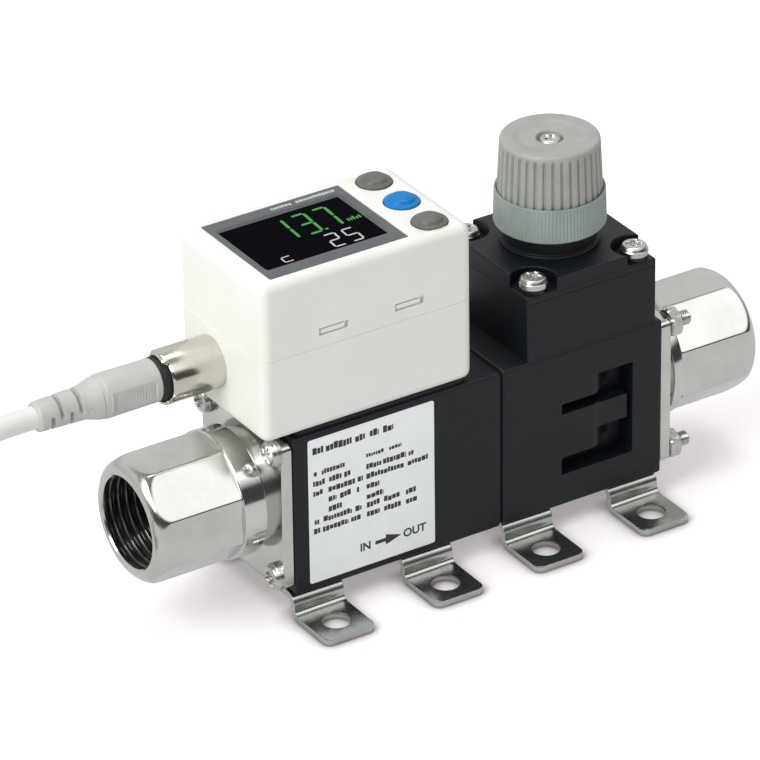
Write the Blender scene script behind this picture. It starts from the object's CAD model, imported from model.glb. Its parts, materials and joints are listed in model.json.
"""Looks of the inline flow switch with its control valve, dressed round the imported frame.

Lengths are millimetres in the part's frame until a mesh is made: X runs along the pipe, Y to the back, Z up.
"""

import json
import logging
import math
from collections.abc import Callable, Sequence
from dataclasses import dataclass, field
from enum import Enum

import bmesh
import bpy
import numpy as np
from mathutils import Matrix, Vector
from mathutils.geometry import delaunay_2d_cdt

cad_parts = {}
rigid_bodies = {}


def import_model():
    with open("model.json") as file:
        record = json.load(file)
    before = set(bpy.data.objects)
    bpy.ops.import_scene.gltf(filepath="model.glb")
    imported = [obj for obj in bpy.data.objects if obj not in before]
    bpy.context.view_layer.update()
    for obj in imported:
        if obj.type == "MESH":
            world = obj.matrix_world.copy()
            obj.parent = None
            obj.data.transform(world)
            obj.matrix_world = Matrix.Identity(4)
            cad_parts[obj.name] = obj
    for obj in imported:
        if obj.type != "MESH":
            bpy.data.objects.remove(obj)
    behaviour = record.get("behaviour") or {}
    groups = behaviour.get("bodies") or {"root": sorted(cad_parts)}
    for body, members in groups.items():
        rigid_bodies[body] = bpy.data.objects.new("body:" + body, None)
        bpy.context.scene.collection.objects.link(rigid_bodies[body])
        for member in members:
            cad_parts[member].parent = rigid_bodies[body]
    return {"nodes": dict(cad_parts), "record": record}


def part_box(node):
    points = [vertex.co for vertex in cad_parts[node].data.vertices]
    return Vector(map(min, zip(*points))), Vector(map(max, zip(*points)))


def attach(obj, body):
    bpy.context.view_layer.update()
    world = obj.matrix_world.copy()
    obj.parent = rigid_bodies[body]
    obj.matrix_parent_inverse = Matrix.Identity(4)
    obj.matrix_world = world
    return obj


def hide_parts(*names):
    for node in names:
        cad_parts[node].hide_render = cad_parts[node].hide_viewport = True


for leftover in list(bpy.data.objects):
    bpy.data.objects.remove(leftover)
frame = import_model()

LOG = logging.getLogger("flow_switch")
MM = 0.001
FULL_TURN = 2 * np.pi
# Least and greatest width of a printed bar and the gap to the next, for a row one millimetre high
LETTER_W = (0.36, 0.8)
LETTER_GAP = 0.12
# Depth to which a print reaches into the face under it
PRINT_SUNK = 0.01
Array = np.ndarray


class Axis(Enum):
    """Direction in which a shape's own third axis points."""

    UP = "up"
    RIGHT = "right"
    LEFT = "left"
    FRONT = "front"


def span(node: str) -> tuple[Array, Array]:
    """Lowest and highest corner of a CAD node, in millimetres."""
    low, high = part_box(node)
    return np.array(low) / MM, np.array(high) / MM


def middle(node: str) -> Array:
    """Middle of a CAD node's box, in millimetres."""
    low, high = span(node)
    return (low + high) / 2


def unit(vectors: Array) -> Array:
    """Vectors of length one along the last axis."""
    return vectors / np.linalg.norm(vectors, axis=-1, keepdims=True)


def rise(t: Array, low: float, high: float) -> Array:
    """Smooth step: 0 up to low, 1 from high on, and an S curve between them."""
    s = np.clip((t - low) / (high - low), 0, 1)
    return s * s * (3 - 2 * s)


def plateau(t: Array, low: float, high: float, edge: float) -> Array:
    """Straight-sided hill: 0 outside low and high, 1 from one edge width inside them."""
    return np.interp(t, [low, low + edge, high - edge, high], [0, 1, 1, 0])


def softmin(a: Array, b: Array, blend: float) -> Array:
    """Lesser of two values, with the crossing rounded over the blend width."""
    h = np.clip(0.5 + 0.5 * (b - a) / blend, 0, 1)
    return b + (a - b) * h - blend * h * (1 - h)


def rounded(corners: Sequence, radii: float | Sequence, steps: int = 6) -> Array:
    """Closed outline of a polygon with its corners replaced by arcs.

    Each arc's centre lies on the corner's bisector where a circle of that radius touches both sides, and the
    arc swings evenly from one touching point to the other.

    Args:
        corners: The polygon's corners, anticlockwise.
        radii: One radius for all corners or one for each.
        steps: Points on each arc.

    Returns:
        Points of the outline, two columns.
    """
    p = np.asarray(corners, float)
    r = np.broadcast_to(np.asarray(radii, float), len(p))[:, None]
    back = unit(np.roll(p, 1, 0) - p)
    ahead = unit(np.roll(p, -1, 0) - p)
    half = np.arccos(np.clip((back * ahead).sum(1), -1, 1))[:, None] / 2
    centre = p + unit(back + ahead) * r / np.sin(half)
    first = p + back * r / np.tan(half) - centre
    last = p + ahead * r / np.tan(half) - centre
    sweep = np.pi - 2 * half
    t = np.linspace(0, 1, steps)
    swing = np.sin((1 - t) * sweep)[..., None] * first[:, None] + np.sin(t * sweep)[..., None] * last[:, None]
    return (centre[:, None] + swing / np.sin(sweep)[..., None]).reshape(-1, 2)


def bent(points: Sequence, radii: float | Sequence, steps: int = 5) -> Array:
    """Open line with its inner corners rounded as in rounded(); the two ends stay as they are.

    Args:
        points: Corners of the line.
        radii: Radius of each inner corner, or one for all.
        steps: Points on each arc.

    Returns:
        Points of the line.
    """
    p = np.asarray(points, float)
    r = np.broadcast_to(np.asarray(radii, float), len(p) - 2)
    arcs = rounded(p, np.concatenate([[1e-4], r, [1e-4]]), steps).reshape(len(p), steps, 2)
    return np.concatenate([p[:1], arcs[1:-1].reshape(-1, 2), p[-1:]])


def dense(line: Sequence, step: float) -> Array:
    """Open line with evenly spaced points added on each stretch that is longer than a step.

    Args:
        line: Points of the line.
        step: Greatest distance between points.

    Returns:
        Points of the line, the old ones included.
    """
    p = np.asarray(line, float)
    run = np.linalg.norm(np.diff(p, axis=0), axis=1)
    count = np.maximum(np.ceil(run / step).astype(int), 1)
    edge = np.repeat(np.arange(len(count)), count)
    t = (np.arange(count.sum()) - (np.cumsum(count) - count)[edge]) / count[edge]
    return np.concatenate([p[edge] + t[:, None] * (p[edge + 1] - p[edge]), p[-1:]])


def round_rect(low: Sequence, high: Sequence, radius: float, steps: int = 6) -> Array:
    """Rectangle between two corners with round corners."""
    return rounded([(low[0], low[1]), (high[0], low[1]), (high[0], high[1]), (low[0], high[1])], radius, steps)


def circle(centre: Sequence, radius: float, points: int = 64) -> Array:
    """Circle as a closed outline."""
    turn = np.arange(points) * FULL_TURN / points
    return np.asarray(centre, float) + radius * np.stack([np.cos(turn), np.sin(turn)], 1)


def refine(loop: Array, axis: int, stations: Sequence) -> Array:
    """Adds the points where an outline crosses given values of one coordinate.

    Args:
        loop: Closed outline.
        axis: Number of the coordinate.
        stations: Its values.

    Returns:
        The outline with the points added in order.
    """
    start, end = loop, np.roll(loop, -1, 0)
    run = end[:, axis] - start[:, axis]
    stations = np.asarray(stations, float)
    share = (stations[None] - start[:, axis, None]) / np.where(np.abs(run) < 1e-9, np.inf, run)[:, None]
    edge, which = np.nonzero((share > 1e-6) & (share < 1 - 1e-6))
    t = share[edge, which]
    added = start[edge] + t[:, None] * (end - start)[edge]
    order = np.argsort(np.concatenate([np.arange(len(loop)), edge + t]), kind="stable")
    return np.concatenate([loop, added])[order]


def outward(loop: Array) -> Array:
    """Mitred outward normals of an anticlockwise outline, scaled so that offsets keep the wall parallel.

    Args:
        loop: Closed outline.

    Returns:
        One normal for each point: the sum of its two sides' normals over one plus their product.
    """
    along = np.roll(loop, -1, 0) - loop
    normal = unit(np.stack([along[:, 1], -along[:, 0]], 1))
    before = np.roll(normal, 1, 0)
    return (normal + before) / (1 + (normal * before).sum(1, keepdims=True))


def eased(low: float, high: float, r_low: float, r_high: float, steps: int = 4) -> Array:
    """Layers of an upright wall whose lower and upper edges are quarter rounds.

    Args:
        low: Height of the lower face.
        high: Height of the upper face.
        r_low: Radius of the lower edge.
        r_high: Radius of the upper edge.
        steps: Layers in each round.

    Returns:
        Pairs of offset and height, from the bottom to the top.
    """
    t = np.linspace(0, np.pi / 2, steps)
    lower = np.stack([-r_low * (1 - np.sin(t)), low + r_low * (1 - np.cos(t))], 1)
    upper = np.stack([-r_high * (1 - np.cos(t)), high - r_high * (1 - np.sin(t))], 1)
    return np.concatenate([lower, upper])


def with_rows(layers: Array, heights: Sequence) -> Array:
    """Layers with upright ones added at more heights, in order of height."""
    more = np.stack([np.zeros(len(heights)), np.asarray(heights, float)], 1)
    both = np.concatenate([layers, more])
    return both[np.argsort(both[:, 1], kind="stable")]


def walls(loop: Array, layers: Array, sign: float = 1) -> Array:
    """Rows of a wall: the outline moved outwards by each layer's offset, at the layer's height.

    Args:
        loop: Outline in the plane.
        layers: Pairs of offset and height.
        sign: 1 for an outer wall, -1 for the wall of a hole.

    Returns:
        Array of layers by points by three.
    """
    flat = loop[None] + sign * layers[:, 0, None, None] * outward(loop)[None]
    high = np.broadcast_to(layers[:, 1, None, None], flat.shape[:2] + (1,))
    return np.concatenate([flat, high], 2)


def turned(profile: Array, columns: int, shape: Callable | None = None) -> Array:
    """Rows of a surface of revolution about the third axis.

    Each profile point (height, radius) becomes a ring. A shape function may change the radius with the turn.

    Args:
        profile: Pairs of height and radius.
        columns: Points round each ring.
        shape: Takes the turn, the height and the radius as grids and gives the new radius.

    Returns:
        Array of profile points by columns by three.
    """
    turn, height = np.meshgrid(np.arange(columns) * FULL_TURN / columns, profile[:, 0])
    radius = np.broadcast_to(profile[:, 1, None], turn.shape)
    if shape is not None:
        radius = shape(turn, height, radius)
    return np.stack([radius * np.cos(turn), radius * np.sin(turn), height], -1)


def placed(rows: Array, axis: Axis, at: Sequence) -> Array:
    """Rows turned so that their third axis points along the named one, and moved to a point."""
    u, v, w = np.moveaxis(rows, -1, 0)
    turns = {Axis.UP: (u, v, w), Axis.RIGHT: (w, u, v), Axis.LEFT: (-w, -u, v), Axis.FRONT: (u, -w, v)}
    return np.stack(turns[axis], -1) + np.asarray(at, float)


def polygon_side(a: float, sides: int) -> Callable[[Array], Array]:
    """Distance from the middle to a regular polygon's side, as a function of the turn: a over the cosine."""
    step = FULL_TURN / sides
    return lambda turn: a / np.cos((turn + step / 2) % step - step / 2)


def smooth(points: Array, steps: int) -> Array:
    """Curve through points: on each stretch a cubic whose ends head along the line between the neighbours.

    Args:
        points: Points to pass through.
        steps: Points on each stretch.

    Returns:
        Points of the curve, both ends included.
    """
    padded = np.concatenate([2 * points[:1] - points[1:2], points, 2 * points[-1:] - points[-2:-1]])
    a, b, c, d = (padded[k:len(padded) - 3 + k, None] for k in range(4))
    t = (np.arange(steps) / steps)[None, :, None]
    curve = 0.5 * (2 * b + (c - a) * t + (2 * a - 5 * b + 4 * c - d) * t**2 + (3 * b - a - 3 * c + d) * t**3)
    return np.concatenate([curve.reshape(-1, 3), points[-1:]])


def tube(path: Array, radius: float, sides: int) -> Array:
    """Rings of a round tube along a path that is nowhere upright, closed to a point at both ends.

    Args:
        path: Points of the middle line.
        radius: Radius of the tube.
        sides: Points round each ring.

    Returns:
        Array of rings by sides by three.
    """
    ahead = unit(np.gradient(path, axis=0))
    aside = unit(np.cross(ahead, (0.0, 0.0, 1.0)))
    above = np.cross(aside, ahead)
    turn = np.arange(sides) * FULL_TURN / sides
    rings = path[:, None] + radius * (np.cos(turn)[None, :, None] * aside[:, None]
                                      + np.sin(turn)[None, :, None] * above[:, None])
    ends = np.broadcast_to(path[[0, -1], None], (2, sides, 3))
    return np.concatenate([ends[:1], rings, ends[1:]])


def letter_bars(dice: np.random.Generator, start: float, end: float, base: float, size: float) -> list[Array]:
    """Outlines of bars of uneven width and height that fill a word's place.

    Args:
        dice: Source of the widths and heights.
        start: Left end of the word.
        end: Right end of the word.
        base: Foot of the row.
        size: Height of the row.

    Returns:
        A small rounded rectangle for each bar.
    """
    bars, x = [], start
    while x < end - LETTER_W[0] / 2:
        wide = min(float(dice.uniform(*LETTER_W)) * size, end - x)
        tall, lift = size * dice.uniform(0.72, 1), size * dice.uniform(0, 0.16)
        spot = np.array([x, base + lift])
        bars.append(round_rect(spot, spot + (wide, tall), min(0.06, 0.4 * wide), 3))
        x += wide + LETTER_GAP
    return bars


def inside(points: Array, loops: Sequence[Array]) -> Array:
    """Even-odd test: counts how often a ray to the right of each point crosses the outlines.

    Args:
        points: Points in the plane.
        loops: Closed outlines.

    Returns:
        True for each point that lies inside.
    """
    start = np.concatenate(loops)
    end = np.concatenate([np.roll(loop, -1, 0) for loop in loops])
    above = (start[None, :, 1] > points[:, 1, None]) != (end[None, :, 1] > points[:, 1, None])
    run = np.where(above, end[None, :, 1] - start[None, :, 1], 1)
    cross = start[None, :, 0] + (points[:, 1, None] - start[None, :, 1]) * (end - start)[None, :, 0] / run
    return (above & (cross > points[:, 0, None])).sum(1) % 2 == 1


def film(face: float, thick: float) -> Array:
    """Layers of a print that starts just under a face and stands out by its thickness."""
    return np.array([(0, face - PRINT_SUNK), (0, face + thick)])


def shown(name: str, data: bpy.types.ID) -> bpy.types.Object:
    """New object in the scene."""
    made = bpy.data.objects.new(name, data)
    bpy.context.scene.collection.objects.link(made)
    return made


@dataclass
class Surface:
    """Points and faces of one piece, gathered patch by patch."""

    points: list[Array] = field(default_factory=list)
    faces: list[Array] = field(default_factory=list)
    size: int = 0

    def add(self, points: Array, *patches: Array) -> "Surface":
        """Adds points and patches of faces between them.

        Args:
            points: Array of points by three.
            patches: Arrays of the corners' numbers, one row for each face.

        Returns:
            This surface.
        """
        self.faces += [patch + self.size for patch in patches]
        self.points.append(points)
        self.size += len(points)
        return self

    def sheet(self, rows: Array, closed: bool = True, ring: bool = False) -> "Surface":
        """Adds a sheet of quads over a grid of points.

        Args:
            rows: Array of rows by columns by three.
            closed: Joins the last column to the first.
            ring: Joins the last row to the first.

        Returns:
            This surface.
        """
        index = np.arange(rows.shape[0] * rows.shape[1]).reshape(rows.shape[:2])
        index = np.concatenate([index, index[:, :1]], 1) if closed else index
        index = np.concatenate([index, index[:1]], 0) if ring else index
        quads = np.stack([index[:-1, :-1], index[:-1, 1:], index[1:, 1:], index[1:, :-1]], -1).reshape(-1, 4)
        return self.add(rows.reshape(-1, 3), quads)

    def cap(self, loops: Sequence[Array], across: int = 2, creases: Array | None = None) -> "Surface":
        """Fills the flat region inside the first loop and outside the others with Delaunay triangles.

        Args:
            loops: Outlines in three columns that lie in one plane.
            across: The axis square to the plane.
            creases: Pairs of points that become edges too, in the plane's two columns.

        Returns:
            This surface.
        """
        keep = [k for k in range(3) if k != across]
        flat = [loop[:, keep] for loop in loops]
        starts = np.cumsum([0] + [len(loop) for loop in flat])
        steps = [np.arange(len(loop)) + start for loop, start in zip(flat, starts)]
        edges = [np.stack([step, np.roll(step, -1)], 1) for step in steps]
        places = list(flat)
        if creases is not None:
            edges.append(np.arange(2 * len(creases)).reshape(-1, 2) + starts[-1])
            places.append(creases.reshape(-1, 2))
        made = delaunay_2d_cdt(np.concatenate(places).tolist(), np.concatenate(edges).tolist(), [], 0, 1e-6)
        corners, triangles = np.array(made[0]), np.array(made[2])
        triangles = triangles[inside(corners[triangles].mean(1), flat)]
        points = np.insert(corners, across, loops[0][0, across], axis=1)
        return self.add(points, triangles)

    def block(self, loop: Array, layers: Array, holes: Sequence[Array] = (), hole_layers: Array | None = None,
              axis: Axis = Axis.UP, at: Sequence = (0, 0, 0), relief: Callable | None = None) -> "Surface":
        """Adds a closed block: a wall round an outline, walls round its holes, and two flat faces.

        Args:
            loop: Outline of the block.
            layers: Pairs of offset and height of the outer wall.
            holes: Outlines of holes that go right through.
            hole_layers: Pairs of offset and height of the holes' walls.
            axis: Direction in which the height points.
            at: Place of the block's own origin.
            relief: Takes the outer wall's rows and gives them back with hollows pressed in.

        Returns:
            This surface.
        """
        outer = walls(loop, layers)
        inner = [walls(hole, hole_layers, -1) for hole in holes]
        whole = Surface().sheet(outer if relief is None else relief(outer))
        for rows in inner:
            whole.sheet(rows)
        for end in (0, -1):
            whole.cap([outer[end]] + [rows[end] for rows in inner])
        return self.take(whole, axis, at)

    def take(self, other: "Surface", axis: Axis = Axis.UP, at: Sequence = (0, 0, 0)) -> "Surface":
        """Adds another surface, turned to an axis and moved to a point."""
        return self.add(placed(np.concatenate(other.points), axis, at), *other.faces)

    def lathe(self, profile: Array, columns: int = 64, axis: Axis = Axis.UP, at: Sequence = (0, 0, 0),
              shape: Callable | None = None, ring: bool = False) -> "Surface":
        """Adds a turned shape; its profile starts and ends on the axis, or closes on itself as a ring."""
        return self.sheet(placed(turned(profile, columns, shape), axis, at), True, ring)

    def piece(self, name: str, material: bpy.types.Material, slot: str, body: str = "body",
              replaces: Sequence[str] = (), sharp_deg: float = 38) -> bpy.types.Object:
        """Makes the object: merges the patches' seams, points faces outwards and shades round parts smooth.

        Args:
            name: Name of the piece.
            material: Its finish.
            slot: Slot of the record that the finish belongs to.
            body: Body that it moves with.
            replaces: CAD nodes that it stands for.
            sharp_deg: Edges sharper than this stay crisp.

        Returns:
            The object, at the origin.
        """
        mesh = bpy.data.meshes.new(name)
        faces = [face for patch in self.faces for face in patch.tolist()]
        mesh.from_pydata((np.concatenate(self.points) * MM).tolist(), [], faces)
        shell = bmesh.new()
        shell.from_mesh(mesh)
        bmesh.ops.remove_doubles(shell, verts=shell.verts, dist=2e-7)
        bmesh.ops.dissolve_degenerate(shell, edges=shell.edges, dist=1e-8)
        bmesh.ops.recalc_face_normals(shell, faces=shell.faces)
        shell.to_mesh(mesh)
        shell.free()
        mesh.polygons.foreach_set("use_smooth", np.ones(len(mesh.polygons), bool))
        mesh.set_sharp_from_angle(angle=math.radians(sharp_deg))
        mesh.materials.append(material)
        made = shown(name, mesh)
        flat = made.modifiers.new("flat_faces", "WEIGHTED_NORMAL")
        flat.keep_sharp = True
        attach(made, body)
        if replaces:
            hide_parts(*replaces)
        LOG.info("%s: %d faces on %s", name, len(mesh.polygons), body)
        return made


def linear(hex_colour: str) -> tuple[float, float, float, float]:
    """Linear colour of an sRGB hex value."""
    srgb = np.array([int(hex_colour[i:i + 2], 16) for i in (1, 3, 5)]) / 255
    rgb = np.where(srgb <= 0.04045, srgb / 12.92, ((srgb + 0.055) / 1.055) ** 2.4)
    return (*rgb.tolist(), 1.0)


def add_node(tree: bpy.types.NodeTree, kind: str, inputs: dict | None = None,
             **settings: object) -> bpy.types.Node:
    """Adds a shader node.

    Args:
        tree: Node tree of the material.
        kind: Name of the node's type after ShaderNode.
        inputs: Values or sockets by input name or number.
        settings: Attributes of the node.

    Returns:
        The node.
    """
    node = tree.nodes.new("ShaderNode" + kind)
    for key, value in settings.items():
        setattr(node, key, value)
    for key, value in (inputs or {}).items():
        if isinstance(value, bpy.types.NodeSocket):
            tree.links.new(value, node.inputs[key])
        else:
            node.inputs[key].default_value = value
    return node


def blend(tree: bpy.types.NodeTree, share: object, ends: Sequence, kind: str = "FLOAT") -> bpy.types.NodeSocket:
    """Mixes two numbers or two colours.

    Args:
        tree: Node tree of the material.
        share: Value or socket, 0 for the first end and 1 for the second.
        ends: The two values or sockets.
        kind: FLOAT for numbers, RGBA for colours.

    Returns:
        Socket with the mixture.
    """
    first, out = {"FLOAT": (2, 0), "RGBA": (6, 2)}[kind]
    return add_node(tree, "Mix", {0: share, first: ends[0], first + 1: ends[1]}, data_type=kind).outputs[out]


def reckon(tree: bpy.types.NodeTree, operation: str, first: object, second: object) -> bpy.types.NodeSocket:
    """Socket with the result of an operation on two numbers or sockets."""
    return add_node(tree, "Math", {0: first, 1: second}, operation=operation).outputs[0]


@dataclass(frozen=True)
class Finish:
    """A surface: two close colours in soft clouds, a roughness that follows them, and a fine relief.

    Attributes:
        name: Common name of the material and how it was made.
        colour: Main colour.
        shade: Colour that it drifts to.
        roughness: Least and greatest roughness.
        cloud_mm: Size of the colour's drift.
        grain_mm: Size of the relief along X, Y and Z; a long grain makes lines.
        relief_mm: Depth of the relief.
        metallic: 1 for bare metal.
        extras: Constant values of other sockets of the shader.
    """

    name: str
    colour: str
    shade: str
    roughness: tuple[float, float]
    cloud_mm: float = 6.0
    grain_mm: tuple[float, float, float] = (0.3, 0.3, 0.3)
    relief_mm: float = 0.01
    metallic: float = 0.0
    extras: tuple[tuple[str, object], ...] = ()

    def material(self) -> bpy.types.Material:
        """Builds the node material.

        Returns:
            The material: noise on Object coordinates mixes the colours and sets the roughness, and a finer
            noise, stretched by the grain, presses the relief.
        """
        made = bpy.data.materials.new(self.name)
        made.use_nodes = True
        tree = made.node_tree
        shader = tree.nodes["Principled BSDF"]
        place = add_node(tree, "TexCoord").outputs["Object"]
        cloud = add_node(tree, "TexNoise", {"Vector": place, "Scale": 1 / (self.cloud_mm * MM), "Detail": 3.0})
        tone = add_node(tree, "MapRange", {0: cloud.outputs["Fac"], 1: 0.35, 2: 0.65, 3: 0.0, 4: 1.0})
        mix = blend(tree, tone.outputs[0], (linear(self.colour), linear(self.shade)), "RGBA")
        fineness = tuple(1 / (g * MM) for g in self.grain_mm)
        grain = add_node(tree, "Mapping", {"Vector": place, "Scale": fineness})
        fine = add_node(tree, "TexNoise", {"Vector": grain.outputs[0], "Scale": 1.0, "Detail": 2.0})
        rough = add_node(tree, "MapRange", {0: fine.outputs["Fac"], 1: 0.3, 2: 0.7, 3: self.roughness[0],
                                            4: self.roughness[1]})
        bump = add_node(tree, "Bump", {"Height": fine.outputs["Fac"], "Strength": 1.0,
                                       "Distance": self.relief_mm * MM})
        for name, value in (("Base Color", mix), ("Roughness", rough.outputs[0]), ("Normal", bump.outputs[0])):
            tree.links.new(value, shader.inputs[name])
        shader.inputs["Metallic"].default_value = self.metallic
        for name, value in self.extras:
            shader.inputs[name].default_value = value
        return made


# Each finish by the record's slot: what the real material is, how it was made and what that gives the eye
FINISHES = {
    # Bar turned on a lathe: fine rings round the pipe axis blur the reflections along it
    "stainless": Finish("turned_stainless_steel", "#D3D5D0", "#C9CBC6", (0.13, 0.21), 9.0, (0.16, 6.0, 6.0),
                        0.0006, 1.0),
    # Cold-rolled sheet, bent and tumbled: bright, with faint rolling lines
    "bracket_steel": Finish("rolled_stainless_sheet", "#CACCC7", "#BDBFBA", (0.2, 0.28), 7.0, (3.0, 0.2, 0.5),
                            0.0002, 1.0),
    # Zinc-plated steel, barrel finished: bright with small soft dents
    "screw_steel": Finish("plated_screw_steel", "#CECFCB", "#BFC0BC", (0.22, 0.34), 2.0, (0.5, 0.5, 0.5),
                          0.002, 1.0),
    # Glass-filled resin from a spark-eroded mould: dark, matt and finely pebbled
    "black_resin": Finish("moulded_glass_filled_resin", "#0B131B", "#0A1118", (0.42, 0.56), 7.0,
                          (0.35, 0.35, 0.35), 0.012, extras=(("Specular IOR Level", 0.38),)),
    # Unpainted resin inside the case: dull mid grey
    "grey_resin": Finish("moulded_grey_resin", "#5A5D61", "#505357", (0.4, 0.5), 5.0),
    # ABS from a lightly etched mould: warm white with a soft even sheen
    "white_resin": Finish("moulded_white_abs", "#EBECE6", "#E7E8E1", (0.36, 0.48), 14.0, (0.4, 0.4, 0.4), 0.008,
                          extras=(("IOR", 1.54),)),
    # Acetal from an etched mould: flat grey, soft highlight
    "knob_grey": Finish("moulded_grey_acetal", "#A2A69F", "#9A9E97", (0.42, 0.55), 5.0),
    # The same acetal with a green tint, a little smoother
    "ring_green_grey": Finish("moulded_green_grey_acetal", "#95A29B", "#8C9993", (0.4, 0.52), 5.0),
    # Nitrile rubber from a steel mould: black without a shine
    "rubber": Finish("moulded_black_rubber", "#1B1C1D", "#232425", (0.55, 0.7), 4.0),
    # Polyester film with a satin varnish: cool white, very smooth
    "label": Finish("printed_polyester_film", "#F4F7FA", "#F0F3F6", (0.28, 0.36), 8.0,
                    (0.25, 0.25, 0.25), 0.002),
    # ABS from a fine mould: dark grey with a weak sheen
    "bezel": Finish("moulded_dark_grey_bezel", "#565D5F", "#4E5557", (0.32, 0.44), 5.0, relief_mm=0.006),
    # Hard-coated acrylic over a black screen, against glare: deep black that mirrors little
    "panel": Finish("coated_display_window", "#050408", "#07060B", (0.2, 0.28), 8.0, (2.0, 2.0, 2.0), 0.0004,
                    extras=(("Specular IOR Level", 0.005),)),
    # Lacquer over copper: deep green and smooth
    "board": Finish("green_solder_mask", "#2F6B45", "#28603C", (0.25, 0.35), 3.0),
    # Resin keys from a polished mould: soft highlights on even grey and on blue dyed through
    "button_grey": Finish("moulded_grey_button", "#676962", "#5F615A", (0.32, 0.44), 2.5,
                          (0.25, 0.25, 0.25), 0.006, extras=(("Specular IOR Level", 0.3),)),
    "button_blue": Finish("moulded_blue_button", "#0E7CC6", "#0C72B9", (0.3, 0.42), 2.5,
                          (0.25, 0.25, 0.25), 0.004, extras=(("Specular IOR Level", 0.2),)),
    # Machined brass with satin nickel: warm pale metal, rings round the plug's axis
    "nickel": Finish("satin_nickel_plate", "#D8D4CA", "#D1CDC2", (0.13, 0.2), 5.0, (0.14, 4.0, 4.0),
                     0.0002, 1.0),
    # Thin gold over nickel: warm and bright
    "gold": Finish("gold_plated_contact", "#E0B355", "#D2A548", (0.2, 0.3), 2.0, metallic=1.0),
    # Soft PVC moulded over the plug: even grey with a slight bloom
    "plug_grey": Finish("overmoulded_grey_jacket", "#BCBFB9", "#B4B7B1", (0.45, 0.58), 5.0, (0.35, 0.35, 0.35),
                        0.01),
    # PVC drawn through a die: smooth pale grey
    "cable_grey": Finish("extruded_cable_jacket", "#E1E1DE", "#DADAD7", (0.42, 0.54), 12.0,
                         (0.5, 0.5, 0.5), 0.006),
    # PVC drawn over a thin core: saturated, with a slight shine
    "core_colours": Finish("brown_core_insulation", "#6B3F22", "#5E371D", (0.35, 0.45), 3.0),
    # Woven nylon with fine hooks: rough black, no shine
    "tie_black": Finish("woven_hook_and_loop_strap", "#212224", "#2A2B2D", (0.7, 0.9), 2.0,
                        (0.5, 0.5, 0.5), 0.12),
}

# Oil-blackened spring steel: nearly black and dull, lost in the shade under the screw heads
BLACKENED_STEEL = Finish("blackened_spring_steel", "#17191B", "#101214", (0.4, 0.5), 1.5, relief_mm=0.004)
# The ports' steel, buffed on the collars: mirrors the room in sharp bands
POLISHED_STEEL = Finish("buffed_stainless_steel", "#D6D8D5", "#CFD1CE", (0.1, 0.15), 9.0, (0.2, 6.0, 6.0),
                        0.0002, 1.0)
# The same steel as the tap leaves it in the bores: dull, and dark with oil
TAPPED_STEEL = Finish("tapped_stainless_thread", "#6E6F6A", "#62635F", (0.3, 0.42), 3.0, (0.3, 3.0, 3.0),
                      0.001, 1.0)


@dataclass(frozen=True)
class PrintInk:
    """Flat printed ink, a little uneven as a screen print is, or a lit display segment."""

    name: str
    colour: str
    glow: float = 0.0

    def material(self) -> bpy.types.Material:
        """Builds the ink: small specks of rougher print, and light of its own for a lit segment.

        Returns:
            The material.
        """
        made = Finish(self.name, self.colour, self.colour, (0.35, 0.5), 0.6, (0.2, 0.2, 0.2), 0.001).material()
        shader = made.node_tree.nodes["Principled BSDF"]
        if self.glow:
            shader.inputs["Emission Color"].default_value = linear(self.colour)
            shader.inputs["Emission Strength"].default_value = self.glow
        return made


class Ink(Enum):
    """Inks and lit segments used on the label, the display and the open cores."""

    LABEL = PrintInk("black_label_print", "#2A2B30")
    FRAME = PrintInk("pale_frame_print", "#B9BDBC")
    GREEN = PrintInk("green_display_segment", "#2B8C2F", 0.12)
    WHITE = PrintInk("white_display_segment", "#B4AEB3", 0.22)
    CORE_WHITE = PrintInk("white_core_insulation", "#E4E4E0")
    CORE_BLACK = PrintInk("black_core_insulation", "#1C1C1E")
    CORE_BLUE = PrintInk("blue_core_insulation", "#2A57B8")


class Palette:
    """Materials by slot and by ink, each made once."""

    def __init__(self) -> None:
        """Makes every finish and dresses the CAD nodes with the finish of their slot."""
        self.slots = {slot: finish.material() for slot, finish in FINISHES.items()}
        self.inks = {ink: ink.value.material() for ink in Ink}
        self.polished = POLISHED_STEEL.material()
        self.tapped = TAPPED_STEEL.material()
        self.blackened = BLACKENED_STEEL.material()
        for part in frame["record"]["subparts"]:
            node = frame["nodes"][part["node"]]
            node.data.materials.clear()
            node.data.materials.append(self.slots[part["material_slot"]])

    def __getitem__(self, key: str | Ink) -> bpy.types.Material:
        """Material of a slot or an ink."""
        return self.inks[key] if isinstance(key, Ink) else self.slots[key]


@dataclass
class SubAssembly:
    """Pieces that are built together, with the materials that dress them."""

    palette: Palette

    def dress(self, shape: Surface, name: str, slot: str, body: str = "body") -> bpy.types.Object:
        """Makes a piece that stands for the CAD node of its name, in the finish of its slot."""
        return shape.piece(name, self.palette[slot], slot, body, [name])


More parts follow.
